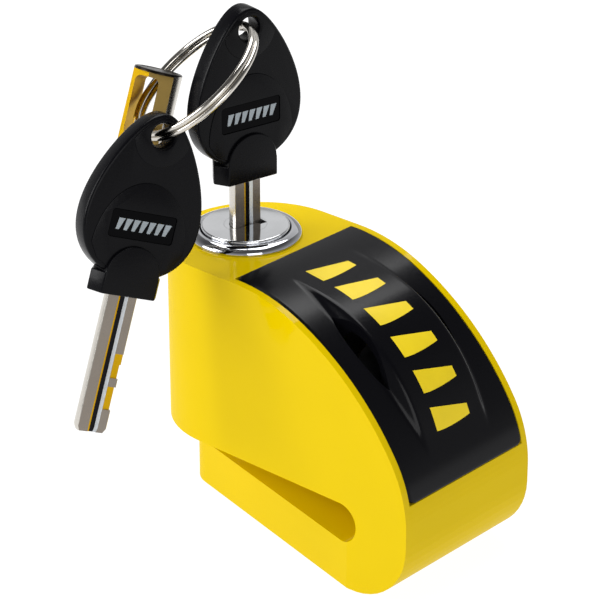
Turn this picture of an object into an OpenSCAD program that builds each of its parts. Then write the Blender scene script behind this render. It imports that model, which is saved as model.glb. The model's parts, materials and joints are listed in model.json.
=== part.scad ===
// Alarmed motorcycle disc brake lock with its keys.
// The lock's axis is Z, its base is at z = 0, the nose points to +X,
// and the barrel is drawn pushed down, so the pin crosses the disc slot.

/* [Body] */
// Height of the body from base to top face
body_h = 60; // [58:1:64]
// Width of the body
body_w = 39.6; // [38:0.2:44]
// How far the nose stands in front of the lock axis
nose_x = 62.6; // [60:0.2:66]
// Radius of the long shoulder curve
shoulder_r = 41; // [38:1:42]
// Radius of the nose curve
nose_r = 27; // [25:1:28]
// Radius of the flatter curve that joins the shoulder and nose curves
flank_r = 62; // [60:1:80]
// Radius of the curve under the nose
chin_r = 15; // [10:1:18]

/* [Disc slot] */
// Height of the slot's floor above the base
slot_floor = 10.4; // [9:0.2:11]
// Height of the slot, which takes discs up to 6 mm thick
slot_h = 9; // [8:0.2:9.4]
// Where the slot's rounded end is centred
slot_end_x = 44.6; // [42:0.2:45]

/* [Lock] */
// Diameter of the sliding lock barrel
barrel_d = 19; // [19:0.1:19.2]
// How far the barrel springs up when it is unlocked
barrel_travel = 15; // [14:0.5:15]
// Diameter of the locking pin
pin_d = 7; // [6:0.5:7]
// Outside diameter of the chrome bezel
bezel_d = 24.6; // [24:0.2:26]
// Running clearance on a radius
run_gap = 0.05; // [0.03:0.01:0.08]

/* [Alarm] */
// Half the width of the alarm cover
cover_hw = 18; // [17.4:0.1:18]
// Where the cover starts on the top face
cover_x0 = 14.2; // [14:0.1:15]
// Height of the cover's lower edge
cover_z0 = 24.6; // [24:0.1:26]
// Thickness of the cover
cover_t = 2.2; // [2:0.1:2.4]

/* [Keys] */
// Height of a key's neck above the base, key in the lock
key_z = 73.3; // [73:0.1:75]
// Turn of the key in the lock about its own axis
key_turn = 78; // [70:1:85]
// Length of a key's blade
blade_l = 29.2; // [28:0.1:29.5]
// Thickness of a key's head
head_t = 5; // [4.6:0.1:5]
// Mean radius of the split ring
ring_r = 15.3; // [15:0.1:15.6]
// Radius of the split ring's wire
wire_r = 0.7; // [0.6:0.05:0.75]

/* [Hidden] */
$fn = 64;
eps = 0.01;

yellow = "#f2cd05";
black = "#19181c";
chrome = "#c9ccd2";
steel = "#9a9ea6";
brass = "#c89b2c";
green = "#1f5d3a";

half_w = body_w / 2;
rear_x = 4.3;                       // centre of the rounded back
slot_roof = slot_floor + slot_h;
shoulder_x = 15;                    // where the shoulder curve leaves the top face
nose_z = 19;                        // height at which the nose is upright
shoulder_c = [shoulder_x, body_h - shoulder_r];
nose_c = [nose_x - nose_r, nose_z];
chin_c = [nose_x - chin_r, chin_r];
// Centre of the joining curve, from the triangle of the three centres
span = norm(nose_c - shoulder_c);
span_a = atan2(nose_c[1] - shoulder_c[1], nose_c[0] - shoulder_c[0]);
flank_along = (pow(flank_r - shoulder_r, 2) - pow(flank_r - nose_r, 2) + pow(span, 2)) / (2 * span);
flank_down = sqrt(pow(flank_r - shoulder_r, 2) - pow(flank_along, 2));
flank_c = shoulder_c + flank_along * [cos(span_a), sin(span_a)]
    + flank_down * [sin(span_a), -cos(span_a)];
flank_a0 = atan2(nose_c[1] - flank_c[1], nose_c[0] - flank_c[0]);
flank_a1 = atan2(shoulder_c[1] - flank_c[1], shoulder_c[0] - flank_c[0]);

jaw_x0 = 46.7;                      // where the lower jaw starts to narrow
jaw_rear_x = -4.9;
jaw_rear_r = 7.2;
pin_hole_z = 4.5;                   // bottom of the blind hole in the jaw

bore_r = barrel_d / 2 + run_gap;
bore_z = 23;                        // bottom of the barrel's bore
barrel_z0 = 25;                     // lower end of the barrel
barrel_z1 = body_h + 0.4;
face_z = 62.3;                      // height of the lock's face
plug_r = 6.5;
plug_z0 = 39.2;
cam_z0 = 35.2;
cam_r = 4.2;
cam_e = 1.6;                        // how far the cam is off centre
disc_n = 7;
disc_z0 = 44.6;
disc_pitch = 2;
disc_t = 1.3;
disc_r = 5.1;
cage_r = 5.2;
keyway_r = 3.55;
keyway_flat = 1.15;                 // from the axis to the keyway's flat
guide_a = 35;                       // direction of the guide screw
guide_z = 50;
plunger_z = 46;
plunger_travel = 0.9;
dog_z = [35.6, 38.4];
dog_hw = 1.5;
dog_x = [-6.2, -11];

ledge_in = 2;                       // how far the cover's ledge stands inside the recess
gasket_t = 0.8;
cover_proud = 0.3;                  // how far the cover stands above the body
bulge_c = [23.85, 22.71];           // centre of the cover's bulged band, in side view
bulge_r = 36.5;
bulge_hw = 9.5;
bulge_slope = [3.5, 4.4];           // width and height of the slope at the band's side
slit_l = 16;
slit_w = 2.6;
stripe_t = 0.15;
cav_x0 = 16.6;
cav_z0 = 22.5;
cav_hw = cover_hw - ledge_in;
siren_at = [42.5, 37.2];
siren_r = 11;
siren_t = 6;
siren_tilt = 42.8;
cell_r = 5.8;
cell_t = 5.4;
cell_y = 6.3;
board_z = 37.4;

hole_h = 33.5;                      // from a key's neck to its ring hole
hole_r = 2.5;
neck_t = 6.4;
ring_c = [-1.4, -12.9, 98.2];
ring_rot = [0, 39.5, -126];
key_2_hole = [1.4, -26.6, 91.2];
key_2_rot = [-9, 20, 68];
tool_at = [-11.6, -14.8, 94.1];
tool_rot = [-9, 20, 68];
tool_turn = -50;                    // direction in which the tool's slot is cut
tool_r = 5.1;
tool_top = 4.2;
tool_l = 30;
tool_flat = 2.2;                    // from the tool's axis to its milled flat

// Points of an arc, from angle a0 to a1
function arc(c, r, a0, a1, n) =
    [for (i = [0:n]) let (a = a0 + (a1 - a0) * i / n) c + r * [cos(a), sin(a)]];

// Side view of the body, grown outwards by d
function side_points(d) = concat(
    [[-60, -d]],
    arc(chin_c, chin_r + d, -90, 0, 12),
    arc(nose_c, nose_r + d, 0, flank_a0, 12),
    arc(flank_c, flank_r + d, flank_a0, flank_a1, 16),
    arc(shoulder_c, shoulder_r + d, flank_a1, 90, 10),
    [[-60, body_h + d]]);

// Point of a key head's egg-shaped outline, a degrees round from the neck
function egg(a) = [12.5 * sin(a) * (1 + 0.35 * cos(a)), 20.7 - 17.3 * cos(a)];

module side_solid(d, hw) {
    rotate([90, 0, 0]) linear_extrude(2 * hw, center = true) polygon(side_points(d));
}

module plan_2d() {
    translate([rear_x, 0]) circle(half_w, $fn = 96);
    translate([rear_x, -half_w]) square([80, body_w]);
}

module jaw_2d() {
    slope = asin((half_w - jaw_rear_r) / (jaw_x0 - jaw_rear_x));
    top = [jaw_rear_x - jaw_rear_r * sin(slope), jaw_rear_r * cos(slope)];
    translate([jaw_rear_x, 0]) circle(jaw_rear_r);
    polygon([top, [jaw_x0, half_w], [jaw_x0 + 40, half_w], [jaw_x0 + 40, -half_w],
        [jaw_x0, -half_w], [top[0], -top[1]]]);
}

module slot_cut() {
    translate([-60, -40, slot_floor]) cube([60 + slot_end_x, 80, slot_h]);
    translate([slot_end_x, 0, slot_floor + slot_h / 2]) rotate([90, 0, 0])
        cylinder(r = slot_h / 2, h = 80, center = true);
}

// A band of the body's curved front between two depths, cut at its ends
module front_band(d_out, d_in, hw, x0, z0) {
    intersection() {
        difference() {
            side_solid(d_out, hw);
            side_solid(d_in, hw + 1);
        }
        translate([x0, -hw, z0]) cube([80, 2 * hw, 80]);
    }
}

module cavity() {
    intersection() {
        side_solid(-cover_t + eps, cav_hw);
        translate([cav_x0, -cav_hw, cav_z0]) cube([80, 2 * cav_hw, 80]);
        translate([0, 0, cover_z0 + ledge_in]) union() {
            translate([0, -40, 0]) cube([80, 80, 80]);
            translate([0, -40, -40]) cube([nose_x - 7, 80, 41]);
        }
    }
}

module body_casting() color(yellow) {
    seat = cover_t + gasket_t;
    difference() {
        intersection() {
            side_solid(0, half_w + 1);
            linear_extrude(body_h) plan_2d();
        }
        slot_cut();
        difference() {
            translate([-60, -40, -1]) cube([60 + jaw_x0, 80, slot_floor + slot_h / 2]);
            translate([0, 0, -2]) linear_extrude(slot_roof) jaw_2d();
        }
        translate([0, 0, bore_z]) cylinder(r = bore_r, h = body_h);
        translate([0, 0, body_h - 4]) cylinder(r = bezel_d / 2 - 0.9, h = 10);
        translate([0, 0, body_h - 6.4]) cylinder(r = bore_r + 1.5, h = 3);
        translate([0, 0, pin_hole_z]) cylinder(r = pin_d / 2 + 0.3, h = 10);
        translate([0, 0, slot_roof - 1]) cylinder(r = pin_d / 2 + run_gap, h = 10);
        translate([dog_x[1] - 0.6, -dog_hw - 0.3, dog_z[0] - 0.4])
            cube([4, 2 * dog_hw + 0.6, dog_z[1] - dog_z[0] + barrel_travel + 0.8]);
        rotate([0, 0, guide_a]) translate([0, 0, guide_z]) rotate([0, 90, 0])
            cylinder(r = 2, h = 22);
        translate([0, 0, plunger_z]) rotate([0, 90, 0]) cylinder(r = 1.3, h = 18);
        cavity();
        front_band(1, -seat, cover_hw + 0.15, cover_x0 - 0.15, cover_z0 - 0.15);
        for (s = [-1, 1]) translate([30, 11.6 * s, slot_roof - 1]) {
            cylinder(r = 1.3, h = 6);
            cylinder(r = 2.4, h = 2.4);
        }
    }
}

module lock_bezel() color(chrome) rotate_extrude($fn = 96) {
    r_in = bore_r + 0.2;
    r_out = bezel_d / 2;
    polygon(concat(
        [[r_in, body_h - 3.4], [r_out - 1, body_h - 3.4], [r_out - 1, body_h], [r_out, body_h]],
        arc([r_out - 1.1, body_h + 0.7], 1.1, 0, 90, 6),
        arc([r_in + 0.5, body_h + 1.5], 0.5, 90, 180, 4)));
}

module barrel_seal() color(black) translate([0, 0, body_h - 4.9])
    rotate_extrude() translate([bore_r + 0.76, 0]) circle(0.7, $fn = 24);

module guide_screw() color(steel) rotate([0, 0, guide_a]) translate([0, 0, guide_z])
    rotate([0, 90, 0]) difference() {
        translate([0, 0, 8.6]) cylinder(r = 2, h = 8);
        translate([0, 0, 14.6]) cylinder(r = 1.1, h = 3, $fn = 6);
    }

module return_spring() color(steel) {
    turns = 4;
    pitch = 1.35;
    for (i = [0:turns]) translate([0, 0, bore_z + 0.6 + i * pitch])
        rotate_extrude() translate([6.2, 0]) circle(0.55, $fn = 16);
    for (i = [0:turns - 1]) rotate([0, 0, 90 * i]) translate([6.2, 0, bore_z + 0.6 + i * pitch])
        cylinder(r = 0.4, h = pitch, $fn = 16);
}

module lock_barrel() color(steel) difference() {
    translate([0, 0, barrel_z0]) cylinder(r = barrel_d / 2, h = barrel_z1 - barrel_z0);
    translate([0, 0, barrel_z0 - 1]) difference() {
        cylinder(r = 7.4, h = 6);
        cylinder(r = 5, h = 7);
    }
    translate([0, 0, barrel_z0 - 1]) cylinder(r = pin_d / 2, h = 10);
    translate([0, 0, 32.3]) rotate([90, 0, 0]) cylinder(r = 1.25, h = 30, center = true);
    translate([0, 0, 35]) cylinder(r = plug_r + run_gap, h = 40);
    // Window for the latch dog
    translate([-12, -dog_hw - 0.05, dog_z[0] - 0.05])
        cube([8, 2 * dog_hw + 0.1, dog_z[1] - dog_z[0] + 0.1]);
    // Slot for the guide screw
    rotate([0, 0, guide_a]) translate([8.3, -2.2, guide_z - barrel_travel - 2.3])
        cube([4, 4.4, barrel_travel + 4.6]);
    // Sloping flat that pushes the arming plunger
    rotate([0, -atan(plunger_travel / barrel_travel), 0])
        translate([10.6, -1.6, 29]) cube([6, 3.2, 19]);
}

module barrel_cap() color(chrome) difference() {
    translate([0, 0, barrel_z1]) cylinder(r = barrel_d / 2, h = face_z - barrel_z1, $fn = 96);
    translate([0, 0, barrel_z1 - 1]) cylinder(r = plug_r - 1.9, h = 5);
}

module locking_pin() color(steel) {
    translate([0, 0, pin_hole_z + 1.5]) cylinder(r = pin_d / 2, h = 34 - pin_hole_z - 1.5 - 1.7);
    translate([0, 0, pin_hole_z + 0.5]) cylinder(r1 = pin_d / 2 - 1, r2 = pin_d / 2, h = 1);
}

module pin_cross_pin() color(steel) for (s = [-1, 1])
    translate([0, s * 6.45, 32.3]) rotate([90, 0, 0]) cylinder(r = 1.25, h = 5.9, center = true);

// The keyway's outline: a circle with one flat, which faces -Y before key_turn
module keyway_2d(r, flat) intersection() {
    circle(r);
    translate([-2 * r, -flat]) square([4 * r, 4 * r]);
}

module turned() rotate([0, 0, key_turn]) children();

module lock_plug() color(brass) {
    difference() {
        union() {
            translate([0, 0, plug_z0]) cylinder(r = plug_r, h = body_h - plug_z0);
            translate([-cam_e, 0, cam_z0]) cylinder(r = cam_r, h = plug_z0 - cam_z0 + 1);
        }
        translate([0, 0, disc_z0 - 1]) cylinder(r = cage_r, h = 30);
        // Side slot for the sidebar
        translate([0, 0, disc_z0 - 0.2]) turned() translate([-0.85, 3, 0]) cube([1.7, 6, 13.6]);
    }
}

module detainer_discs() color(brass) turned() for (i = [0:disc_n - 1])
    translate([0, 0, disc_z0 + i * disc_pitch]) linear_extrude(disc_t) difference() {
        circle(disc_r);
        keyway_2d(keyway_r, keyway_flat);
        translate([-0.9, 4.2]) square([1.8, 2]);
    }

module disc_spacers() color(steel) turned() for (i = [0:disc_n - 2])
    translate([0, 0, disc_z0 + i * disc_pitch + disc_t + 0.1]) linear_extrude(0.5) difference() {
        circle(disc_r);
        circle(keyway_r + 0.1);
        translate([-0.9, 4.2]) square([1.8, 2]);
    }

module key_guide() color(chrome) turned() {
    difference() {
        union() {
            translate([0, 0, 58.4]) cylinder(r = disc_r, h = 2);
            translate([0, 0, 60.4 - eps]) cylinder(r = plug_r - 1.95, h = face_z - 60.3);
        }
        translate([0, 0, 50]) linear_extrude(20) keyway_2d(keyway_r, keyway_flat);
    }
}

module lock_sidebar() color(steel) turned()
    translate([-0.8, 4.4, disc_z0]) cube([1.6, 2, 13.2]);

module latch_dog() color(steel)
    translate([dog_x[1], -dog_hw, dog_z[0]])
        cube([dog_x[0] - dog_x[1], 2 * dog_hw, dog_z[1] - dog_z[0]]);

// Turned solid whose rim is the cover's bulged band, made smaller all round by d
module bulge(d) translate([bulge_c[0], 0, bulge_c[1]]) rotate([90, 0, 0])
    rotate_extrude($fn = 180) {
        hw = bulge_hw - d;
        base = bulge_hw + bulge_slope[0] - d;
        polygon([[0, -base], [bulge_r - bulge_slope[1], -base], [bulge_r - d, -hw],
            [bulge_r - d, hw], [bulge_r - bulge_slope[1], base], [0, base]]);
    }

// The bulge from the offset d_in of the body's curve outwards, made smaller by shrink
module bulge_shell(d_in, shrink) intersection() {
    bulge(shrink);
    front_band(8, d_in, cover_hw, cover_x0, cover_z0);
}

// Lens-shaped outline of a sound slit
module slit_2d() {
    r = (pow(slit_l / 2, 2) + pow(slit_w / 2, 2)) / slit_w;
    intersection_for(s = [-1, 1]) translate([0, s * (r - slit_w / 2)]) circle(r, $fn = 180);
}

module alarm_cover() color(black) difference() {
    union() {
        front_band(cover_proud, -cover_t, cover_hw, cover_x0, cover_z0);
        bulge_shell(-cover_t, 0);
    }
    // Sound chamber under the bulge
    bulge_shell(-cover_t - 1, 2);
    // Sound slits in both slopes
    for (s = [-1, 1]) translate([42.6, s * 11.4, 30]) linear_extrude(40) slit_2d();
}

module cover_stripes() color(yellow) difference() {
    intersection() {
        bulge(-stripe_t);
        for (i = [0:5]) translate([26.3 + 4.9 * i, 0, 30]) linear_extrude(40)
            polygon([[0, -5], [2.6, -5], [4.2, 5], [1.6, 5]]);
    }
    bulge(0);
}

module cover_gasket() color("#333333") difference() {
    front_band(-cover_t, -cover_t - gasket_t, cover_hw, cover_x0 + 0.1, cover_z0 + 0.1);
    translate([cav_x0 - 0.2, -cav_hw - 0.2, cover_z0 + ledge_in - 0.2])
        cube([80, 2 * cav_hw + 0.4, 80]);
}

module cover_screws() color(steel) for (s = [-1, 1]) translate([30, 11.6 * s, slot_roof]) {
    translate([0, 0, 0.2]) cylinder(r = 2.2, h = 1.2);
    translate([0, 0, 1.3]) cylinder(r = 1.2, h = 5.2);
}

module sound_mesh() color("#555555") front_band(-4.2, -4.6, 14.6, 40, 34);

module alarm_tray() color("#2b2b2e") difference() {
    union() {
        translate([17, -14.9, cav_z0 + 0.1]) cube([37, 29.8, 1.4]);
        for (s = [-1, 1]) translate([17, s * 14.2 - 0.7, cav_z0 + 0.1]) cube([19, 1.4, 14.6]);
        translate([35, -14.9, cav_z0 + 0.1]) cube([1.2, 29.8, 10]);
        for (s = [-1, 1]) translate([30, 11.6 * s, cav_z0 + 0.2]) cylinder(r = 2.6, h = 5.6);
        for (s = [-1, 1]) translate([44, s * 12.6 - 1, cav_z0 + 0.2]) cube([6, 2, 5]);
    }
    for (s = [-1, 1]) translate([30, 11.6 * s, cav_z0 - 1]) cylinder(r = 1.2, h = 5.2);
    for (s = [-1, 1]) translate([17.5, s * cell_y, 30.3]) rotate([0, 90, 0])
        cylinder(r = cell_r + 0.1, h = 17.4);
}

module circuit_board() color(green) difference() {
    translate([17.2, -14.6, board_z]) cube([16, 29.2, 1.2]);
    for (s = [-1, 1]) translate([20, 12.4 * s, board_z - 1]) cylinder(r = 1, h = 4);
}

module board_parts() color("#202022") {
    top = board_z + 1.2;
    translate([24, 2, top]) cube([5, 4.4, 1.6]);
    translate([24.5, 8, top]) cylinder(r = 2, h = 5);
    translate([29.5, -3, top]) cube([2.4, 3.6, 1.2]);
    for (i = [0:3]) translate([23.4 + 2 * i, -1, top]) cube([1.2, 0.8, 0.6]);
}

module vibration_sensor() color(chrome) translate([27, -9.5, board_z + 1.2]) {
    cylinder(r = 2.6, h = 8);
    translate([0, 0, 8]) cylinder(r = 2.1, h = 0.8);
}

module arming_switch() color("#3a3a40") difference() {
    translate([17.3, -3.2, board_z + 1.2]) cube([4.4, 6.4, 11]);
    translate([17.2, 0, plunger_z]) rotate([0, 90, 0]) cylinder(r = 1.3, h = 3.2);
}

module switch_plunger() color("#b3402c") translate([0, 0, plunger_z]) rotate([0, 90, 0]) {
    translate([0, 0, 9.2]) cylinder(r = 1.2, h = 10);
    translate([0, 0, 9.2]) sphere(r = 1.2, $fn = 32);
}

module siren_frame() translate([siren_at[0], 0, siren_at[1]]) rotate([0, siren_tilt, 0])
    children();

module siren_case() color("#1c1c1f") siren_frame() difference() {
    translate([0, 0, -siren_t / 2]) cylinder(r = siren_r, h = siren_t);
    translate([0, 0, -siren_t / 2 + 1.2]) cylinder(r = siren_r - 1.2, h = siren_t - 2.4);
    cylinder(r = 3, h = siren_t);
}

module piezo_disc() color(brass) siren_frame() {
    translate([0, 0, -1.4]) cylinder(r = siren_r - 1.3, h = 0.4);
    translate([0, 0, -1.0]) cylinder(r = 6.5, h = 0.3);
}

module siren_leads() color("firebrick") for (y = [-1.2, 1.2])
    translate([33.25, y, board_z + 0.6]) rotate([0, 90, 0]) cylinder(r = 0.5, h = 3);

module button_cells() color(chrome) for (s = [-1, 1]) for (i = [0:2])
    translate([17.8 + i * (cell_t + 0.1), s * cell_y, 30.3]) rotate([0, 90, 0]) {
        cylinder(r = cell_r, h = cell_t - 0.5);
        cylinder(r = cell_r - 1.2, h = cell_t);
    }

module battery_contacts() color(chrome) for (x = [17.1, 34.5])
    for (s = [-1, 1]) translate([x, s * cell_y - 2.5, 26]) cube([0.4, 5, 11.3]);

// A key's blade: half round, grooved down its flat face, with cuts on one edge
module blade() color("#c7c2b6") difference() {
    translate([0, 0, -blade_l]) {
        translate([0, 0, 1.2]) linear_extrude(blade_l + 2) keyway_2d(3.4, 1);
        linear_extrude(1.3) keyway_2d(2.9, 1);
    }
    translate([-0.8, -1.5, -blade_l + 2]) cube([1.6, 1.5, blade_l]);
    for (z = [-17.2, -24.2]) translate([2.2, -3, z]) cube([3, 3.2, 5]);
}

module key_head() color(black) difference() {
    union() {
        rotate([90, 0, 0]) linear_extrude(head_t, center = true)
            polygon([for (i = [0:71]) egg(5 * i)]);
        intersection() {
            linear_extrude(11) polygon([[-8, 0], [-6.1, -neck_t / 2], [6.1, -neck_t / 2],
                [8, 0], [6.1, neck_t / 2], [-6.1, neck_t / 2]]);
            rotate([90, 0, 0]) linear_extrude(neck_t + 1, center = true) {
                translate([-9, 0]) square([18, 4.5]);
                translate([0, 4.4]) circle(6.1);
            }
        }
    }
    translate([0, 0, hole_h]) rotate([90, 0, 0]) cylinder(r = hole_r, h = 10, center = true);
    // Countersinks of the ring hole, then the label's two pockets
    for (s = [-1, 1]) translate([0, s * head_t / 2, hole_h]) rotate([s * 90, 0, 0])
        translate([0, 0, -0.1]) cylinder(r1 = hole_r + 0.8, r2 = hole_r, h = 1.8, $fn = 64);
    for (s = [-1, 1]) translate([-7.4, s * (head_t / 2) - 0.4, 11.7]) cube([14.8, 0.8, 5.9]);
    translate([0, 0, -1]) linear_extrude(4.2) keyway_2d(3.4, 1);
}

module label() color("#0c0c0e") for (s = [-1, 1])
    translate([-7.3, s * (head_t / 2 - 0.25) - 0.15, 11.8]) cube([14.6, 0.3, 5.7]);

module key_1_place() translate([0, 0, key_z]) rotate([0, 0, key_turn]) children();
module key_2_place() translate(key_2_hole) rotate(key_2_rot) translate([0, 0, -hole_h]) children();

module key_1_blade() key_1_place() blade();
module key_1_head() key_1_place() key_head();
module key_1_label() key_1_place() label();
module key_2_blade() key_2_place() blade();
module key_2_head() key_2_place() key_head();
module key_2_label() key_2_place() label();

module split_ring() color(chrome) translate(ring_c) rotate(ring_rot) rotate_extrude($fn = 96)
    for (s = [-1, 1]) translate([ring_r, s * wire_r * 0.92]) circle(wire_r, $fn = 24);

// Round tool, milled flat at one side, with a slot right through for the split ring
module cover_tool() color("#c7c2b6") translate(tool_at) rotate(tool_rot)
    rotate([0, 0, tool_turn]) difference() {
        translate([0, 0, tool_top - tool_l]) cylinder(r = tool_r, h = tool_l);
        translate([-tool_r - 1, -tool_r - 1, tool_top - 18])
            cube([2 * tool_r + 2, tool_r + 1 - tool_flat, 16.8]);
        translate([-3.8, -tool_r, tool_top - 14.4]) cube([5.4, 2 * tool_r + 1, 12.6]);
        translate([0, 0, tool_top - tool_l - 1]) cylinder(r = 3.4, h = 9);
    }

body_casting();
lock_bezel();
barrel_seal();
guide_screw();
return_spring();
lock_barrel();
barrel_cap();
locking_pin();
pin_cross_pin();
lock_plug();
detainer_discs();
disc_spacers();
key_guide();
lock_sidebar();
latch_dog();
alarm_cover();
cover_stripes();
cover_gasket();
cover_screws();
sound_mesh();
alarm_tray();
circuit_board();
board_parts();
vibration_sensor();
arming_switch();
switch_plunger();
siren_case();
piezo_disc();
siren_leads();
button_cells();
battery_contacts();
key_1_blade();
key_1_head();
key_1_label();
split_ring();
key_2_blade();
key_2_head();
key_2_label();
cover_tool();
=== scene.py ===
"""Looks of the disc brake lock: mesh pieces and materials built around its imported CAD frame."""
import json
import math

import bmesh
import bpy
import numpy as np
from mathutils import Euler, Matrix, Vector


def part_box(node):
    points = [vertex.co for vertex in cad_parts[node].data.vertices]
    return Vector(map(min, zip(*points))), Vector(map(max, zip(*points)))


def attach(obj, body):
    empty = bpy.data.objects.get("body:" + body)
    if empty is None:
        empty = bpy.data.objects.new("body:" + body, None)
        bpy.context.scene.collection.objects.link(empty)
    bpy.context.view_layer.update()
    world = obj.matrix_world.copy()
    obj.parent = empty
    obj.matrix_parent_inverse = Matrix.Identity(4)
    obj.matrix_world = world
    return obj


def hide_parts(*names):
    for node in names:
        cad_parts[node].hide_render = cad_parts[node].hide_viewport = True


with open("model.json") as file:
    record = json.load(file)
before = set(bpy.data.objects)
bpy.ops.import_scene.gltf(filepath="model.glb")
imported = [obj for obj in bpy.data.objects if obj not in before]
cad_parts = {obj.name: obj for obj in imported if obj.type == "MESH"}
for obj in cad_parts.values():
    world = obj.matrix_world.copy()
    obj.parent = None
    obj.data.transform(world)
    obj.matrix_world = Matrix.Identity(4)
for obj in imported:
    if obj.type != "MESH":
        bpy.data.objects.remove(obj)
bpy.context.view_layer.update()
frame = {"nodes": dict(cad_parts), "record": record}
MM = 0.001

# ---------------------------------------------------------------- driving sizes, in mm

body_high = np.array(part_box("body_casting")[1]) / MM
cover_low, cover_high = [np.array(v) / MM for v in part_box("alarm_cover")]
BODY_H = body_high[2]
NOSE_X = body_high[0]
SHOULDER_R = 41.0
NOSE_R = 27.0
FLANK_R = 62.0
SHOULDER_X = 15.0
NOSE_Z = 19.0
COVER_HW = cover_high[1]
COVER_X0 = cover_low[0]
COVER_Z0 = cover_low[2]
COVER_T = 2.2
COVER_PROUD = 0.3
BULGE_C = np.array([23.85, 22.71])
BULGE_R = 36.5
BULGE_HW = 9.5
BULGE_FALL = 4.4 / 3.5

# The band's underside follows it at BAND_WALL, from BAND_RISE up, and stays BAND_REACH inside its edges
BAND_WALL = 2.0
BAND_REACH = 1.2
BAND_RISE = 0.6

# A sound slit is a lens along X, mirrored on the other side of the band
SLIT_X = 42.6
SLIT_Y = 11.35
SLIT_HALF_L = 8.0
SLIT_HALF_W = 1.75

# The printed bars: places along the curve, half length across it and slant
BAR_COUNT = 6
BAR_FIRST = 7.0
BAR_PITCH = 7.9
BAR_WIDE = 4.9
BAR_TIP = 2.2
BAR_HALF_L = 5.2
BAR_SLANT = 2.6
PRINT_T = 0.05

# The keys' own frames: x across the head, z up from the neck's lower end, flat face at -y
HOLE_H = 33.5
KEY_ANGLE = 78
joints = {j["name"]: j for j in frame["record"]["behaviour"]["joints"]}


def joint_place(name):
    return Vector(joints[name]["pos_m"]) / MM


def turned(rx, ry, rz):
    """A rotation given in degrees."""
    return Euler([math.radians(a) for a in (rx, ry, rz)], "XYZ").to_matrix().to_4x4()


HANG = turned(-9, 20, 68)
KEY_1 = Matrix.Translation(joint_place("ring_swing")) @ turned(0, 0, KEY_ANGLE)
KEY_1 = KEY_1 @ Matrix.Translation((0, 0, -HOLE_H))
KEY_2 = Matrix.Translation(joint_place("key_2_swing")) @ HANG
KEY_2 = KEY_2 @ Matrix.Translation((0, 0, -HOLE_H))
RING = Matrix.Translation(joint_place("tool_slide")) @ turned(0, 39.5, -126)
TOOL = Matrix.Translation((-11.6, -14.8, 94.1)) @ HANG @ turned(0, 0, -50)
RING_R = 15.3
WIRE_R = 0.7
BLADE_L = 29.2
FACE_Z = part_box("barrel_cap")[1][2] / MM
BEZEL_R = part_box("lock_bezel")[1][0] / MM
CAP_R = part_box("barrel_cap")[1][0] / MM
GUIDE_R = 4.57
KEY_TURN = math.radians(KEY_ANGLE)


# ---------------------------------------------------------------- the curved front

class Front:
    """The side view of the nose: a shoulder curve, a flatter joining curve and a nose curve."""

    def __init__(self):
        self.c1 = np.array([SHOULDER_X, BODY_H - SHOULDER_R])
        self.c2 = np.array([NOSE_X - NOSE_R, NOSE_Z])
        span = self.c2 - self.c1
        d = float(np.linalg.norm(span))
        ex, ez = span / d
        near, far = FLANK_R - SHOULDER_R, FLANK_R - NOSE_R
        along = (near ** 2 - far ** 2 + d ** 2) / (2 * d)
        down = math.sqrt(near ** 2 - along ** 2)
        self.c3 = self.c1 + along * np.array([ex, ez]) + down * np.array([ez, -ex])
        self.turn1 = math.atan2(*(self.c1 - self.c3)[::-1])
        self.turn2 = math.atan2(*(self.c2 - self.c3)[::-1])
        self.len1 = SHOULDER_R * (math.pi / 2 - self.turn1)
        self.len2 = FLANK_R * (self.turn1 - self.turn2)

    def at(self, s):
        """The point at the distance s along the curve, and the normal there."""
        if s < 0:
            return np.array([SHOULDER_X + s, BODY_H]), np.array([0.0, 1.0])
        if s < self.len1:
            centre, radius, angle = self.c1, SHOULDER_R, math.pi / 2 - s / SHOULDER_R
        elif s < self.len1 + self.len2:
            centre, radius, angle = self.c3, FLANK_R, self.turn1 - (s - self.len1) / FLANK_R
        else:
            centre, radius, angle = self.c2, NOSE_R, self.turn2 - (s - self.len1 - self.len2) / NOSE_R
        n = np.array([math.cos(angle), math.sin(angle)])
        return centre + radius * n, n

    def end(self):
        """The distance at which the cover's lower edge lies."""
        angle = math.asin((COVER_Z0 - NOSE_Z) / NOSE_R)
        return self.len1 + self.len2 + (self.turn2 - angle) * NOSE_R


front = Front()


# ---------------------------------------------------------------- mesh helpers

def smooth(x, lo, hi):
    """Runs from 0 at lo to 1 at hi, flat at both ends."""
    t = np.clip((x - lo) / (hi - lo), 0.0, 1.0)
    return t * t * (3 - 2 * t)


def make(name, verts, faces, body, materials=(), angle=35, place=None):
    """A mesh object from points in mm, shaded smooth below the angle, riding on a body."""
    if place is not None:
        verts = [place @ Vector(v) for v in verts]
    mesh = bpy.data.meshes.new(name)
    mesh.from_pydata([tuple(MM * c for c in v) for v in verts], [], faces)
    obj = bpy.data.objects.new(name, mesh)
    bpy.context.collection.objects.link(obj)
    finish_mesh(obj, angle)
    for m in materials:
        obj.data.materials.append(m)
    if body:
        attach(obj, body)
    return obj


def finish_mesh(obj, angle=35):
    """Welds the mesh, turns its faces outwards and shades it smooth below the angle."""
    bm = bmesh.new()
    bm.from_mesh(obj.data)
    bmesh.ops.remove_doubles(bm, verts=bm.verts, dist=1e-7)
    bmesh.ops.recalc_face_normals(bm, faces=bm.faces)
    for e in bm.edges:
        if len(e.link_faces) == 2:
            e.smooth = e.calc_face_angle(0.0) < math.radians(angle)
    for f in bm.faces:
        f.smooth = True
    bm.to_mesh(obj.data)
    bm.free()


def apply_modifiers(obj):
    graph = bpy.context.evaluated_depsgraph_get()
    mesh = bpy.data.meshes.new_from_object(obj.evaluated_get(graph))
    old = obj.data
    obj.modifiers.clear()
    obj.data = mesh
    bpy.data.meshes.remove(old)


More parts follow.
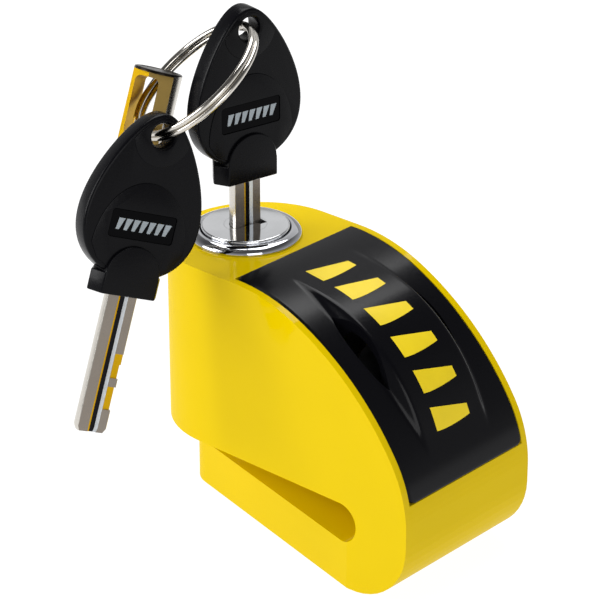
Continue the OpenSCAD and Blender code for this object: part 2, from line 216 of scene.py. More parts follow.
def combine(obj, other, operation):
    """Applies a boolean and removes the other object. Its faces keep their materials."""
    mod = obj.modifiers.new("boolean", "BOOLEAN")
    mod.operation = operation
    mod.solver = "EXACT"
    mod.object = other
    mod.material_mode = "TRANSFER"
    apply_modifiers(obj)
    bpy.data.objects.remove(other)


def cut(obj, cutter):
    combine(obj, cutter, "DIFFERENCE")


def join(obj, other):
    combine(obj, other, "UNION")


def bevel(obj, width, segments=3, angle=30, dissolve=0.0):
    """Rounds the edges sharper than the angle, after joining faces that lie nearly in one plane."""
    if dissolve:
        flat = obj.modifiers.new("flat", "DECIMATE")
        flat.decimate_type = "DISSOLVE"
        flat.angle_limit = math.radians(dissolve)
    mod = obj.modifiers.new("bevel", "BEVEL")
    mod.width = width * MM
    mod.segments = segments
    mod.limit_method = "ANGLE"
    mod.angle_limit = math.radians(angle)
    mod.use_clamp_overlap = True
    mod.harden_normals = False
    weighted = obj.modifiers.new("normals", "WEIGHTED_NORMAL")
    weighted.keep_sharp = False
    weighted.weight = 50


def prism(name, outline, lo, hi, body=None, materials=(), axis="y"):
    """An outline (x, z) drawn out along Y, or (x, y) drawn out along Z."""
    n = len(outline)
    if axis == "y":
        verts = [(p[0], lo, p[1]) for p in outline] + [(p[0], hi, p[1]) for p in outline]
    else:
        verts = [(p[0], p[1], lo) for p in outline] + [(p[0], p[1], hi) for p in outline]
    faces = [tuple(range(n)), tuple(range(2 * n - 1, n - 1, -1))]
    faces += [(i, (i + 1) % n, n + (i + 1) % n, n + i) for i in range(n)]
    return make(name, verts, faces, body, materials)


def lathe(name, profile, body, materials, segments=160, centre=(0, 0)):
    """A closed (radius, height) outline turned about Z."""
    verts, faces = [], []
    n = len(profile)
    for i in range(segments):
        a = 2 * math.pi * i / segments
        for r, z in profile:
            verts.append((centre[0] + r * math.cos(a), centre[1] + r * math.sin(a), z))
    for i in range(segments):
        j = (i + 1) % segments
        for k in range(n):
            m = (k + 1) % n
            faces.append((i * n + k, j * n + k, j * n + m, i * n + m))
    return make(name, verts, faces, body, materials)


def sheet_faces(rows, cols, flip_low=True):
    """Faces of a solid made of two grids of points, the upper one first, closed round its rim.

    flip_low winds the lower grid's faces the other way round."""
    faces = []
    low = rows * cols
    for base in (0, low):
        for i in range(rows - 1):
            for k in range(cols - 1):
                a = base + i * cols + k
                quad = (a, a + 1, a + cols + 1, a + cols)
                faces.append(quad[::-1] if base and flip_low else quad)
    rim = list(range(cols)) + [i * cols + cols - 1 for i in range(1, rows)]
    rim += [(rows - 1) * cols + k for k in range(cols - 2, -1, -1)]
    rim += [i * cols for i in range(rows - 2, 0, -1)]
    for i, a in enumerate(rim):
        b = rim[(i + 1) % len(rim)]
        faces.append((a, b, b + low, a + low))
    return faces


def arc(cx, cy, r, a0, a1, n):
    """Points on an arc between two angles in degrees."""
    return [(cx + r * math.cos(math.radians(a0 + (a1 - a0) * i / n)),
             cy + r * math.sin(math.radians(a0 + (a1 - a0) * i / n))) for i in range(n + 1)]


def tube(name, points, radius, body, materials, sides=20, flat=1.0, normal=None):
    """A wire of round or slightly flattened section along an open run of points, with closed ends."""
    pts = [Vector(p) for p in points]
    verts, faces = [], []
    up = Vector(normal) if normal is not None else Vector((0, 0, 1))
    for i, p in enumerate(pts):
        t = (pts[min(i + 1, len(pts) - 1)] - pts[max(i - 1, 0)]).normalized()
        side = t.cross(up).normalized()
        top = side.cross(t).normalized()
        for k in range(sides):
            a = 2 * math.pi * k / sides
            verts.append(p + side * (radius * math.cos(a)) + top * (radius * flat * math.sin(a)))
    for i in range(len(pts) - 1):
        for k in range(sides):
            m = (k + 1) % sides
            faces.append((i * sides + k, i * sides + m, (i + 1) * sides + m, (i + 1) * sides + k))
    faces.append(tuple(range(sides)))
    faces.append(tuple(range(len(verts) - 1, len(verts) - sides - 1, -1)))
    return make(name, [tuple(v) for v in verts], faces, body, materials)


# ---------------------------------------------------------------- materials

def principled(name, color, rough, metal=0.0, coat=0.0, coat_rough=0.03, spec=0.5):
    mat = bpy.data.materials.new(name)
    mat.use_nodes = True
    node = mat.node_tree.nodes["Principled BSDF"]
    node.inputs["Base Color"].default_value = (*color, 1)
    node.inputs["Roughness"].default_value = rough
    node.inputs["Metallic"].default_value = metal
    node.inputs["Coat Weight"].default_value = coat
    node.inputs["Coat Roughness"].default_value = coat_rough
    node.inputs["Specular IOR Level"].default_value = spec
    return mat, node


def noise(mat, scale, detail=3.0, stretch=(1, 1, 1)):
    """Noise in object space; the scale is in cells per metre, stretched along an axis."""
    nodes, links = mat.node_tree.nodes, mat.node_tree.links
    coords = nodes.new("ShaderNodeTexCoord")
    mapping = nodes.new("ShaderNodeMapping")
    mapping.inputs["Scale"].default_value = stretch
    tex = nodes.new("ShaderNodeTexNoise")
    tex.inputs["Scale"].default_value = scale
    tex.inputs["Detail"].default_value = detail
    links.new(coords.outputs["Object"], mapping.inputs["Vector"])
    links.new(mapping.outputs["Vector"], tex.inputs["Vector"])
    return tex.outputs["Fac"]


def ramp(mat, fac, lo, hi, out_lo, out_hi):
    """Maps a value from lo..hi to out_lo..out_hi."""
    node = mat.node_tree.nodes.new("ShaderNodeMapRange")
    node.inputs["From Min"].default_value = lo
    node.inputs["From Max"].default_value = hi
    node.inputs["To Min"].default_value = out_lo
    node.inputs["To Max"].default_value = out_hi
    mat.node_tree.links.new(fac, node.inputs["Value"])
    return node.outputs["Result"]


def tint(mat, node, fac, dark, light):
    """The base colour runs from dark to light with the value."""
    mix = mat.node_tree.nodes.new("ShaderNodeMix")
    mix.data_type = "RGBA"
    mix.inputs["A"].default_value = (*dark, 1)
    mix.inputs["B"].default_value = (*light, 1)
    mat.node_tree.links.new(fac, mix.inputs["Factor"])
    mat.node_tree.links.new(mix.outputs["Result"], node.inputs["Base Color"])


def bump(mat, node, fac, depth_mm, strength=1.0, coat=False):
    """Relief of a depth in mm, on the coat too where it is asked for."""
    item = mat.node_tree.nodes.new("ShaderNodeBump")
    item.inputs["Strength"].default_value = strength
    item.inputs["Distance"].default_value = depth_mm * MM
    mat.node_tree.links.new(fac, item.inputs["Height"])
    mat.node_tree.links.new(item.outputs["Normal"], node.inputs["Normal"])
    if coat:
        mat.node_tree.links.new(item.outputs["Normal"], node.inputs["Coat Normal"])


def link_rough(mat, node, fac, lo, hi):
    """The roughness runs from lo to hi with the value."""
    mat.node_tree.links.new(ramp(mat, fac, 0.3, 0.7, lo, hi), node.inputs["Roughness"])


def painted(name, color):
    """Gloss enamel: faint orange peel under a clear coat, with slightly uneven colour."""
    mat, node = principled(name, color, 0.3, coat=0.2, coat_rough=0.035, spec=0.0)
    dark = tuple(0.985 * c for c in color)
    tint(mat, node, ramp(mat, noise(mat, 60), 0.35, 0.65, 0, 1), dark, color)
    bump(mat, node, noise(mat, 900, 2), 0.006, 0.35, coat=True)
    link_rough(mat, node, noise(mat, 400), 0.28, 0.36)
    return mat


def plated(name, color, rough, grain=(1, 1, 1), grain_depth=0.002, scale=3000):
    """Plated metal with a fine grain that can run along one axis."""
    mat, node = principled(name, color, rough, metal=1.0)
    fine = noise(mat, scale, 3, grain)
    tint(mat, node, ramp(mat, noise(mat, 220), 0.3, 0.7, 0, 1),
         tuple(0.93 * c for c in color), color)
    link_rough(mat, node, fine, rough * 0.8, rough * 1.25)
    if grain_depth:
        bump(mat, node, fine, grain_depth, 0.4)
    return mat


def moulded(name, color, rough, grain_mm=0.25, depth=0.02, strength=0.6, coat=0.0, spec=0.3):
    """Moulded plastic or rubber with a fine spark-eroded grain."""
    mat, node = principled(name, color, rough, coat=coat, coat_rough=0.15, spec=spec)
    grain = noise(mat, 1000 / grain_mm / 2.5, 2)
    tint(mat, node, ramp(mat, noise(mat, 120), 0.35, 0.65, 0, 1),
         tuple(0.96 * c for c in color), tuple(1.04 * c for c in color))
    link_rough(mat, node, grain, rough * 0.9, rough * 1.12)
    bump(mat, node, grain, depth, strength)
    return mat


M = {
    "yellow": painted("yellow_enamel", (0.72, 0.51, 0.0003)),
    "chrome": plated("bright_chrome", (0.60, 0.61, 0.64), 0.05, grain_depth=0),
    "satin": plated("polished_face", (0.78, 0.79, 0.81), 0.09, grain_depth=0),
    "steel": plated("ground_steel", (0.45, 0.46, 0.48), 0.28, (1, 1, 12)),
    "spring": plated("spring_wire", (0.35, 0.36, 0.38), 0.3),
    "brass": plated("machined_brass", (0.74, 0.45, 0.10), 0.3, (1, 1, 6)),
    "cut_brass": plated("cut_brass", (0.60, 0.36, 0.008), 0.45, (1, 1, 4)),
    "nickel": plated("key_nickel", (0.62, 0.59, 0.54), 0.24, (6, 6, 1)),
    # darker copy of the key nickel, painted shade on the blade's flat face
    "flat_nickel_painted_shade": plated("flat_nickel_painted_shade", (0.25, 0.22, 0.19), 0.3, (6, 6, 1)),
    # light blue-white metal, a painted highlight on the wall of the key blade's groove
    "groove_painted_highlight": plated("groove_painted_highlight", (0.90, 0.95, 1.0), 0.5, grain_depth=0),
    # groove: near-black metal, painted shade on the floor of the key blade's groove
    "groove": plated("groove_painted_shade", (0.012, 0.012, 0.014), 0.3, grain_depth=0),
    # darker brass, painted shade on part of the tool rod's milled flat
    "brass_painted_shade": plated("brass_painted_shade", (0.20, 0.135, 0.04), 0.4, (1, 1, 4)),
    # near-black colour for the top band of the tool rod
    "rim": plated("near_black_rim", (0.016, 0.013, 0.010), 0.35, grain_depth=0),
    "ring": plated("ring_nickel", (0.62, 0.59, 0.54), 0.12, grain_depth=0),
    "cover": moulded("cover_black", (0.003, 0.003, 0.0042), 0.2, 0.22, 0.002, 0.3, spec=0.13),
    "print": moulded("yellow_print", (0.84, 0.63, 0.01), 0.42, 0.3, 0.003, 0.3),
    "head": moulded("head_black", (0.0028, 0.0028, 0.0038), 0.26, 0.3, 0.02, 0.8, spec=0.1),
    "label": moulded("label_black", (0.0015, 0.0015, 0.002), 0.15, 0.3, 0.001, 0.2, spec=0.04),
    "mark": moulded("mark_grey", (0.34, 0.385, 0.42), 0.4, 0.3, 0.003, 0.3),
    "rubber": moulded("seal_rubber", (0.02, 0.02, 0.02), 0.7, 0.3, 0.01),
    "inner": moulded("inner_plastic", (0.05, 0.05, 0.055), 0.5),
    "grey": moulded("switch_grey", (0.12, 0.12, 0.13), 0.5),
    "mesh": plated("mesh_wire", (0.10, 0.10, 0.105), 0.45),
    "board": moulded("board_green", (0.01, 0.11, 0.04), 0.35, 0.5, 0.005, 0.3, coat=0.4),
    "cell": plated("cell_steel", (0.60, 0.60, 0.61), 0.2),
    "lead": moulded("lead_red", (0.45, 0.02, 0.02), 0.45),
    "red": moulded("plunger_red", (0.45, 0.08, 0.04), 0.4),
}

NODE_MATERIALS = {
    "body_casting": "yellow", "lock_bezel": "chrome", "barrel_seal": "rubber", "guide_screw": "steel",
    "return_spring": "spring", "lock_barrel": "steel", "barrel_cap": "satin", "locking_pin": "steel",
    "pin_cross_pin": "steel", "lock_plug": "brass", "detainer_discs": "brass", "disc_spacers": "cell",
    "key_guide": "satin", "lock_sidebar": "steel", "latch_dog": "steel", "alarm_cover": "cover",
    "cover_stripes": "print", "cover_gasket": "rubber", "cover_screws": "steel", "sound_mesh": "mesh",
    "alarm_tray": "inner", "circuit_board": "board", "board_parts": "inner",
    "vibration_sensor": "cell", "arming_switch": "grey", "switch_plunger": "red",
    "siren_case": "inner", "piezo_disc": "brass", "siren_leads": "lead", "button_cells": "cell",
    "battery_contacts": "cell", "key_1_blade": "nickel", "key_1_head": "head",
    "key_1_label": "label", "split_ring": "ring", "key_2_blade": "nickel", "key_2_head": "head",
    "key_2_label": "label", "cover_tool": "nickel",
}
for node_name, key in NODE_MATERIALS.items():
    node_obj = frame["nodes"][node_name]
    node_obj.data.materials.clear()
    node_obj.data.materials.append(M[key])


# ---------------------------------------------------------------- camera, light and floor

AZIMUTH = 42.37
ELEVATION = 25.45
ROLL = -0.07
AIM = (-3.0, 20.5, 36.1)
CAMERA_AWAY = 635.0
LENS = 171.4

# Strength of the surroundings near the horizon and overhead, then each softbox's radiance
WORLD_LOW = 0.45
WORLD_HIGH = 0.10
LEFT = 8.0
RIGHT = 3.0
BACK = 0.42
TOP = 5.6
FLOOR_GLOW = 0.97
FLOOR_HALF_M = 6.0


def build_camera(scene):
    azimuth, elevation, roll = [math.radians(a) for a in (AZIMUTH, ELEVATION, ROLL)]
    cam = bpy.data.objects.new("camera", bpy.data.cameras.new("camera"))
    bpy.context.collection.objects.link(cam)
    turn = Euler((math.pi / 2 - elevation, 0, azimuth), "XYZ").to_matrix()
    turn = turn @ Matrix.Rotation(roll, 3, "Z")
    place = Vector(AIM) * MM + turn @ Vector((0, 0, CAMERA_AWAY * MM))
    cam.matrix_world = Matrix.Translation(place) @ turn.to_4x4()
    cam.data.sensor_width = 36
    cam.data.lens = LENS
    cam.data.clip_end = 20
    scene.camera = cam


def build_floor():
    """A pale floor that gives off light, so that it stays near white."""
    floor_mesh = bpy.data.meshes.new("floor")
    corners = [(-1, -1), (1, -1), (1, 1), (-1, 1)]
    floor_mesh.from_pydata([(FLOOR_HALF_M * x, FLOOR_HALF_M * y, 0) for x, y in corners],
                           [], [(0, 1, 2, 3)])
    floor = bpy.data.objects.new("floor", floor_mesh)
    bpy.context.collection.objects.link(floor)
    mat, node = principled("floor_white", (0.12, 0.12, 0.12), 0.9, spec=0.0)
    tint(mat, node, ramp(mat, noise(mat, 3), 0.4, 0.6, 0, 1),
         (0.115, 0.115, 0.115), (0.125, 0.125, 0.125))
    node.inputs["Emission Color"].default_value = (1, 1, 1, 1)
    node.inputs["Emission Strength"].default_value = FLOOR_GLOW
    floor_mesh.materials.append(mat)


def build_world(scene):
    """Even white surroundings that fade from the horizon to overhead."""
    world = bpy.data.worlds.new("studio")
    scene.world = world
    world.use_nodes = True
    nodes, links = world.node_tree.nodes, world.node_tree.links
    coords = nodes.new("ShaderNodeTexCoord")
    split = nodes.new("ShaderNodeSeparateXYZ")
    sky = nodes.new("ShaderNodeMapRange")
    sky.inputs["From Min"].default_value = 0.15
    sky.inputs["From Max"].default_value = 0.7
    sky.inputs["To Min"].default_value = WORLD_LOW
    sky.inputs["To Max"].default_value = WORLD_HIGH
    links.new(coords.outputs["Generated"], split.inputs["Vector"])
    links.new(split.outputs["Z"], sky.inputs["Value"])
    links.new(sky.outputs["Result"], nodes["Background"].inputs["Strength"])
    nodes["Background"].inputs["Color"].default_value = (1, 1, 1, 1)


def area(name, direction, distance, size_m, radiance):
    """A softbox in a direction from the object; its power follows from its radiance."""
    place = Vector((0.02, 0, 0.05)) + Vector(direction).normalized() * distance
    light = bpy.data.objects.new(name, bpy.data.lights.new(name, "AREA"))
    light.data.shape = "RECTANGLE"
    light.data.size, light.data.size_y = size_m
    light.data.energy = radiance * math.pi * size_m[0] * size_m[1]
    light.location = place
    light.rotation_euler = (-Vector(direction)).to_track_quat("-Z", "Y").to_euler()
    bpy.context.collection.objects.link(light)


def build_stage():
    scene = bpy.context.scene
    scene.view_settings.view_transform = "Standard"
    build_camera(scene)
    build_floor()
    build_world(scene)
    area("left_softbox", (-0.55, -0.8, 0.45), 1.1, (0.6, 0.6), LEFT)
    area("right_softbox", (0.9, -0.5, 0.35), 1.2, (0.6, 0.6), RIGHT)
    area("back_softbox", (-0.45, 0.7, 0.6), 1.1, (0.8, 0.6), BACK)
    area("top_softbox", (-0.25, 0.35, 1.0), 1.2, (0.9, 0.9), TOP)


build_stage()


# ---------------------------------------------------------------- body

def build_body():
    bevel(frame["nodes"]["body_casting"], 1.1, 4, angle=28, dissolve=0.4)
    for name in ("locking_pin", "lock_barrel", "pin_cross_pin", "guide_screw", "latch_dog",
                 "cover_screws", "lock_plug", "lock_sidebar", "switch_plunger", "siren_case",
                 "vibration_sensor", "button_cells", "arming_switch"):
        bevel(frame["nodes"][name], 0.15, 2, angle=40, dissolve=0.4)


build_body()


# ---------------------------------------------------------------- alarm cover

def bulge_height(s, y):
    """Height of the bulged band above the body's curve, negative where the band is below it."""
    p, n = front.at(s)
    top = BULGE_R - float(np.linalg.norm(p - BULGE_C))
    return top - max(0.0, abs(y) - BULGE_HW) * BULGE_FALL


def soft_max(a, b, k):
    """The larger of two values, with a rounded hand-over of width k."""
    h = max(k - abs(a - b), 0.0) / k
    return max(a, b) + h * h * k / 4


def cover_height(s, y):
    """Height of the cover's face above the body's curve, with a soft foot along the band."""
    ridge = 0.35 * max(0.0, 1 - abs(abs(y) - BULGE_HW) / 0.35) * BULGE_FALL * 0.25
    return soft_max(bulge_height(s, y) - ridge, COVER_PROUD, 0.9)


def spaced(lo, hi, edge, step, fine):
    """Values from lo to hi, finer within the edge distance of both ends."""
    inner = np.arange(lo + edge, hi - edge, step)
    inner = np.linspace(lo + edge, hi - edge, len(inner) + 1)
    near = [edge * (1 - math.cos(math.pi / 2 * i / fine)) for i in range(fine)]
    return np.concatenate([lo + np.array(near), inner, hi - np.array(near[::-1])])


def cover_underside(s, y):
    """Height of the cover's inner face, hollowed out under the band."""
    if bulge_height(s, abs(y) + BAND_REACH) < BAND_RISE:
        return -COVER_T
    return max(-COVER_T, bulge_height(s, y) - BAND_WALL)


def cut_slits(cover):
    """The two curved sound slits, cut straight down through the cover."""
    r = (SLIT_HALF_L ** 2 + SLIT_HALF_W ** 2) / (2 * SLIT_HALF_W)
    sweep = math.degrees(math.asin(SLIT_HALF_L / r))
    lens = arc(0, SLIT_HALF_W - r, r, 90 + sweep, 90 - sweep, 28)
    lens += arc(0, r - SLIT_HALF_W, r, -90 + sweep, -90 - sweep, 28)[1:-1]
    for side in (-1, 1):
        outline = [(SLIT_X + x, side * SLIT_Y + y) for x, y in lens]
        cut(cover, prism("slit", outline, 30, 70, None, [M["cover"]], axis="z"))


def build_cover():
    s0 = COVER_X0 - SHOULDER_X
    s1 = front.end()
    corner = 1.6
    rim = 0.45
    rows = spaced(s0, s1, corner, 0.55, 7)
    cols = np.linspace(-1, 1, 91)
    verts = []
    for outer in (True, False):
        for s in rows:
            d = min(s - s0, s1 - s)
            inset = corner - math.sqrt(max(0.0, corner ** 2 - max(0.0, corner - d) ** 2))
            hw = COVER_HW - inset
            p, normal = front.at(s)
            for c in cols:
                y = hw * c
                if outer:
                    e = min(d, hw - abs(y))
                    drop = rim - math.sqrt(max(0.0, rim ** 2 - max(0.0, rim - e) ** 2))
                    h = cover_height(s, y) - drop
                else:
                    h = cover_underside(s, y)
                q = p + h * normal
                verts.append((q[0], y, q[1]))
    faces = sheet_faces(len(rows), len(cols))
    cover = make("cover_shell", verts, faces, None, [M["cover"]], angle=32)
    cut_slits(cover)
    finish_mesh(cover, 32)
    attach(cover, "lock_body")
    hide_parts("alarm_cover")


build_cover()


def surface_patch(outline_rows, thick):
    """A thin solid half sunk in the cover, from rows of (s, y) points with equal counts."""
    verts = []
    for h_extra in (thick, -thick):
        for row in outline_rows:
            for s, y in row:
                p, normal = front.at(s)
                q = p + (cover_height(s, y) + h_extra) * normal
                verts.append((q[0], y, q[1]))
    return verts, sheet_faces(len(outline_rows), len(outline_rows[0]), flip_low=False)


def build_stripes():
    """Plain slanted bars that narrow towards one end."""
    verts, faces = [], []
    for i in range(BAR_COUNT):
        rows = []
        for v in np.linspace(0, 1, 13):
            y = BAR_HALF_L * (2 * v - 1)
            near = BAR_FIRST + BAR_PITCH * i + BAR_SLANT * v
            width = BAR_WIDE + (BAR_TIP - BAR_WIDE) * v ** 1.4
            rows.append([(near + width * u, y) for u in np.linspace(0, 1, 7)])
        new_verts, new_faces = surface_patch(rows, PRINT_T)
        faces += [tuple(len(verts) + k for k in f) for f in new_faces]
        verts += new_verts
    bars = make("cover_marks", verts, faces, "lock_body", [M["print"]], angle=40)
    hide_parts("cover_stripes")


build_stripes()


# ---------------------------------------------------------------- lock face

def keyway(r, flat, n=40):
    """Outline of a circle with one flat at -y."""
    a = math.degrees(math.asin(flat / r))
    return arc(0, 0, r, -a, 180 + a, n)


def spin(points, angle):
    """An outline turned about the lock's axis by an angle in radians."""
    c, s = math.cos(angle), math.sin(angle)
    return [(c * x - s * y, s * x + c * y) for x, y in points]


def build_bezel():
    """The chrome ring round the barrel, with a crowned face."""
    low = BODY_H - 3.4
    gap_r = CAP_R + 0.22
    profile = [(gap_r, low), (BEZEL_R - 1, low), (BEZEL_R - 1, BODY_H), (BEZEL_R - 0.08, BODY_H)]
    profile += [(BEZEL_R - 2.2 + 2.15 * x, BODY_H + 0.15 + 1.6 * y) for x, y in arc(0, 0, 1, 0, 85, 14)]
    profile += arc(gap_r + 0.25, BODY_H + 1.45, 0.25, 85, 180, 6)
    bezel = lathe("bezel_ring", profile, "lock_body", [M["chrome"]])
    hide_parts("lock_bezel")


def build_barrel_face():
    """The bright ring on top of the barrel, round the key guide."""
    edge = 0.4
    hole_r = GUIDE_R + 0.04
    profile = [(hole_r, BODY_H + 0.4), (CAP_R, BODY_H + 0.4)]
    profile += arc(CAP_R - edge, FACE_Z - edge, edge, 0, 90, 8)
    profile += [(hole_r, FACE_Z)]
    cap = lathe("barrel_face", profile, "barrel", [M["satin"]])
    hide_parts("barrel_cap")


def build_keyway_insert():
    """The key guide, with a half-round hole and a notch beside it."""
    profile = [(0.0, 58.4), (5.05, 58.4), (5.05, 60.35), (GUIDE_R, 60.38), (GUIDE_R, FACE_Z),
               (0.0, FACE_Z)]
    guide = lathe("keyway_insert", profile, None, [M["satin"]])
    hole = prism("hole", spin(keyway(3.5, 1.1), KEY_TURN), 50, 70, None, [M["steel"]], axis="z")
    cut(guide, hole)
    notch = [(2.3, -2.0), (4.2, -2.0), (4.2, 0.4), (2.3, 0.4)]
    cut(guide, prism("notch", spin(notch, KEY_TURN), 61.0, 70, None, [M["steel"]], axis="z"))
    finish_mesh(guide, 30)
    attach(guide, "plug")
    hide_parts("key_guide")


build_bezel()
build_barrel_face()
build_keyway_insert()


# ---------------------------------------------------------------- keys

def egg(t, inset=0.0):
    """Outline of a key's head at the parameter t, set in by a distance."""
    def point(a):
        return np.array([12.5 * math.sin(a) * (1 + 0.35 * math.cos(a)), 20.7 - 17.3 * math.cos(a)])
    p = point(t)
    d = point(t + 0.01) - point(t - 0.01)
    d /= np.linalg.norm(d)
    return p + inset * np.array([-d[1], d[0]])


def applied_bevel(obj, width, segments=2, angle=40):
    """A bevel that becomes part of the mesh, for pieces that are joined or cut later."""
    mod = obj.modifiers.new("bevel", "BEVEL")
    mod.width = width * MM
    mod.segments = segments
    mod.limit_method = "ANGLE"
    mod.angle_limit = math.radians(angle)
    mod.use_clamp_overlap = True
    apply_modifiers(obj)
    return obj


def rounded_rect(x0, z0, x1, z1, r, n=5):
    """Outline of a rectangle between two corners, its own corners rounded to r."""
    out = []
    corners = ((x1 - r, z0 + r), (x1 - r, z1 - r), (x0 + r, z1 - r), (x0 + r, z0 + r))
    for (cx, cz), a in zip(corners, (-90, 0, 90, 180)):
        out += arc(cx, cz, r, a, a + 90, n)
    return out


def clip_to_head(outline, inset):
    """Pulls each point of an outline in to the head's inset outline where it lies outside."""
    ring = np.array([egg(2 * math.pi * i / 720, inset) for i in range(720)])
    centre = np.array([0.0, 20.0])
    angles = np.arctan2(ring[:, 1] - centre[1], ring[:, 0] - centre[0])
    order = np.argsort(angles)
    out = []
    for x, z in outline:
        v = np.array([x, z]) - centre
        limit = np.interp(math.atan2(v[1], v[0]), angles[order],
                          np.linalg.norm(ring - centre, axis=1)[order], period=2 * math.pi)
        length = np.linalg.norm(v)
        out.append(tuple(centre + v * min(1.0, limit / length)))
    return out


def head_neck():
    """The six-sided neck, clipped to a rounded tongue that runs up into the head."""
    hexagon = [(-8, 0), (-6.1, -3.2), (6.1, -3.2), (8, 0), (6.1, 3.2), (-6.1, 3.2)]
    neck = prism("neck", hexagon, 0, 11, None, [M["head"]], axis="z")
    tongue = [(-9, -1), (9, -1), (9, 4.4), (6.1, 4.4)] + arc(0, 4.4, 6.1, 0, 180, 40)[1:] + [(-9, 4.4)]
    combine(neck, prism("clip", tongue, -4, 4, None, [M["head"]]), "INTERSECT")
    return applied_bevel(neck, 0.3, 3, 32)


def ring_bore():
    """Cutter for the ring's hole, rounded outwards at both faces."""
    profile = [(0, -4), (3.35, -4), (3.3, -2.5)] + [(2.5 + 0.8 * (1 - math.sin(math.radians(a))),
               -2.5 + 1.0 * (1 - math.cos(math.radians(a)))) for a in (20, 45, 70, 90)]
    profile += [(r, -y) for r, y in reversed(profile)]
    bore = lathe("bore", profile, None, [M["head"]], segments=64)
    bore.data.transform(Matrix.Translation((0, 0, HOLE_H * MM)) @ turned(90, 0, 0))
    return bore


def build_head():
    """A key's head in its own frame: egg-shaped plate, boss, arch, neck, ring hole and recesses."""
    outline = [tuple(egg(2 * math.pi * i / 128)) for i in range(128)]
    head = applied_bevel(prism("head", outline, -2.3, 2.3, None, [M["head"]]), 0.65, 4)
    boss = clip_to_head(arc(0, HOLE_H, 6.4, 0, 352.5, 47), 0.75)
    join(head, applied_bevel(prism("boss", boss, -2.45, 2.45, None, [M["head"]]), 0.13, 2))
    arch = [(10.5 * math.cos(math.radians(a)), 10 + 13.7 * math.sin(math.radians(a)))
            for a in np.linspace(0, 180, 49)]
    arch = clip_to_head(arch + [(-8.6, 7.0), (-4.6, 4.6), (4.6, 4.6), (8.6, 7.0)], 0.75)
    join(head, applied_bevel(prism("arch", arch, -2.5, 2.5, None, [M["head"]]), 0.15, 2))
    join(head, head_neck())
    cut(head, ring_bore())
    for side in (-1, 1):
        recess = rounded_rect(-7.4, 11.7, 7.4, 17.6, 0.7)
        cut(head, prism("recess", recess, side * 2.1, side * 4, None, [M["head"]]))
    return head


def scaled(place):
    """A placement whose shift is in mm, turned into metres."""
    out = place.copy()
    out.translation = place.translation * MM
    return out


def build_keys():
    """Both keys. One head is made and then copied."""
    first = build_head()
    second = first.copy()
    second.data = first.data.copy()
    bpy.context.collection.objects.link(second)
    for number, place, head in ((1, KEY_1, first), (2, KEY_2, second)):
        body = f"key_{number}"
        head.name = f"{body}_bow"
        head.data.transform(scaled(place))
        finish_mesh(head, 24)
        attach(head, body)
        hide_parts(f"key_{number}_head")
        build_label(number, place, body)
        build_blade(number, place, body)


def build_label(number, place, body):
    """Glossy inlays on both faces, each with a row of seven plain slanted bars."""
    plate = None
    for side in (-1, 1):
        part = prism("inlay", rounded_rect(-7.3, 11.8, 7.3, 17.5, 0.6), side * 2.1, side * 2.36,
                     None, [M["label"]])
        applied_bevel(part, 0.05, 1)
        if plate is None:
            plate = part
        else:
            join(plate, part)
    plate.name = f"key_{number}_inlay"
    plate.data.transform(scaled(place))
    finish_mesh(plate, 30)
    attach(plate, body)
    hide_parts(f"key_{number}_label")
    verts, faces = [], []
    box_faces = ((0, 1, 2, 3), (7, 6, 5, 4), (0, 4, 5, 1), (1, 5, 6, 2), (2, 6, 7, 3), (3, 7, 4, 0))
    count, first, pitch, low, high = 7, -5.9, 1.78, 13.4, 15.8
    for side in (-1, 1):
        for i in range(count):
            x = first + pitch * i
            bar = [(x, low), (x + 0.75, low), (x + 1.75, high), (x + 0.35, high)]
            base = len(verts)
            for y in (side * 2.3, side * 2.39):
                verts += [(side * -px, y, pz) for px, pz in bar]
            faces += [tuple(base + k for k in f) for f in box_faces]
    marks = make(f"key_{number}_marks", verts, faces, body, [M["mark"]], place=place)


def blade_outline(notch):
    """Cross-section of a blade as corners with the material of the edge that starts there."""
    # dark marks the groove's floor, coloured near black as painted shade
    nickel, brass, dark, bright, flat = range(5)
    # bright marks the groove's wall, coloured light blue-white as a painted highlight
    edges = [((-3.17, -1.0), flat), ((-1.15, -1.0), brass), ((-1.1, -0.88), flat),
             ((-0.8, -0.86), brass), ((-0.45, -0.8), brass), ((-0.35, -0.5), dark),
             ((0.75, -0.5), bright), ((1.3, -1.0), flat)]
    if notch:
        edges += [((1.36, -1.0), brass), ((1.4, -0.66), brass), ((notch, -0.66), brass)]
        first = math.degrees(math.acos(notch / 3.4)) if notch < 3.3 else -11.2
    else:
        edges += [((1.36, -1.0), flat), ((2.0, -1.0), flat), ((3.17, -1.0), nickel)]
        first = -16.0
    edges += [((x, y), nickel) for x, y in arc(0, 0, 3.4, first, 196, 40)]
    return edges


def blade_part(z0, z1, notch, tip=1.0):
    """One length of a blade, between two heights."""
    edges = blade_outline(notch)
    n = len(edges)
    verts = [(x * tip, y * tip, z0) for (x, y), _ in edges] + [(x, y, z1) for (x, y), _ in edges]
    faces = [(i, (i + 1) % n, n + (i + 1) % n, n + i) for i in range(n)]
    faces += [tuple(reversed(range(n))), tuple(range(n, 2 * n))]
    # The flat face takes a darker copy of the nickel as painted shade, the groove's floor a near-black
    # painted shade and its wall a light painted highlight
    looks = [M[key] for key in ("nickel", "cut_brass", "groove", "groove_painted_highlight", "flat_nickel_painted_shade")]
    part = make("blade", verts, faces, None, looks)
    for poly, (_, slot) in zip(part.data.polygons, edges):
        poly.material_index = slot
    return part


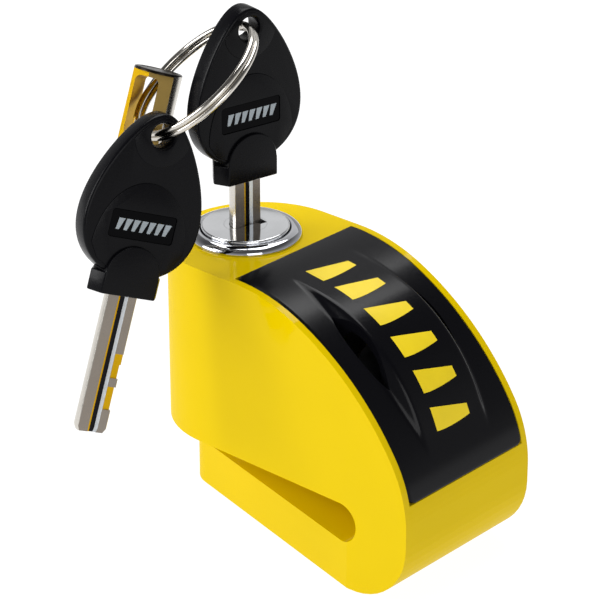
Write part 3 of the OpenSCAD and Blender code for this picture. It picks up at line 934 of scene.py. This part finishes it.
def build_blade(number, place, body):
    """Half-round blade with an open groove in its flat face and bare brass cuts beside it."""
    blade = blade_part(-BLADE_L, -28.2, 0, 0.84)
    for z0, z1, notch in ((-28.2, -24.2, 0), (-24.2, -19.3, 3.05), (-19.3, -17.5, 0),
                          (-17.5, -14.6, 3.05), (-14.6, -12.3, 3.33), (-12.3, 3.1, 0)):
        join(blade, blade_part(z0, z1, notch))
    blade.name = f"key_{number}_shank"
    blade.data.transform(scaled(place))
    finish_mesh(blade, 30)
    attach(blade, body)
    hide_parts(f"key_{number}_blade")


build_keys()


# ---------------------------------------------------------------- split ring and round tool

def build_ring():
    """Two turns of one wire, which cross over at a short jog."""
    points = []
    turns = 2
    count = 288
    start = math.radians(200)
    offset = 0.92 * WIRE_R
    for i in range(count + 1):
        t = turns * 2 * math.pi * i / count
        level = -offset + 2 * offset * float(smooth(t, 2 * math.pi - 0.35, 2 * math.pi + 0.1))
        a = start + t * 0.992
        points.append(RING @ Vector((RING_R * math.cos(a), RING_R * math.sin(a), level)))
    normal = RING.to_3x3() @ Vector((0, 0, 1))
    ring = tube("coil_ring", points, WIRE_R * 0.99, "ring", [M["ring"]], sides=20, flat=0.93,
                normal=normal)
    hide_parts("split_ring")


build_ring()


def build_tool():
    """Plated brass rod with a milled flat, a slot right through and a blind hole below."""
    r, top, length = 5.1, 4.2, 30.0
    low = top - length
    bore_r, bore_depth, chamfer = 3.4, 8, 0.3
    profile = [(0, low + bore_depth), (bore_r, low + bore_depth), (bore_r, low + chamfer),
               (bore_r + chamfer, low), (r - chamfer, low), (r, low + chamfer)]
    profile += [(r, top - 0.35), (r - 0.1, top - 0.1), (r - 0.35, top), (r - 1.0, top),
                (r - 1.15, top - 0.1), (0, top - 0.1)]
    rod = lathe("rod", profile, None, [M["nickel"]], segments=96)
    flat_low, flat_top, flat_y, beyond = -14.0, 3.6, -2.2, 8
    # The flat is bare cut brass up to x = -1.1 and darker brass beyond it, where the darker brass is
    # painted shade
    for x0, x1, key in ((-7, -1.0, "cut_brass"), (-1.1, 7, "brass_painted_shade")):
        flat = [(x0, flat_low), (x1, flat_low), (x1, flat_top), (x0, flat_top)]
        cut(rod, prism("flat", flat, -beyond, flat_y, None, [M[key]]))
    slot = rounded_rect(-3.8, top - 14.4, 1.6, top - 1.8, 1.2)
    cut(rod, prism("slot", slot, -beyond, beyond, None, [M["cut_brass"]]))
    # Faces in the rod's top 0.75 mm are coloured near black
    rod.data.materials.append(M["rim"])
    rim_slot = len(rod.data.materials) - 1
    for poly in rod.data.polygons:
        if poly.center[2] / MM > top - 0.75:
            poly.material_index = rim_slot
    rod.name = "slotted_rod"
    rod.data.transform(scaled(TOOL))
    finish_mesh(rod, 30)
    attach(rod, "tool")
    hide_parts("cover_tool")


build_tool()


def build_spring():
    """The return spring as a real coil, with closed ends."""
    turns, low, high, radius, wire_r = 5.0, 23.62, 29.0, 6.2, 0.5
    steps = 200
    rise = high - low
    easing = 0.35
    points = []
    for i in range(steps + 1):
        f = i / steps
        a = 2 * math.pi * turns * f
        z = low + rise * float(smooth(f, 0.0, 1.0)) * easing + rise * f * (1 - easing)
        points.append((radius * math.cos(a), radius * math.sin(a), z))
    spring = tube("spring_coil", points, wire_r, "lock_body", [M["spring"]], sides=12)
    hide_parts("return_spring")


build_spring()
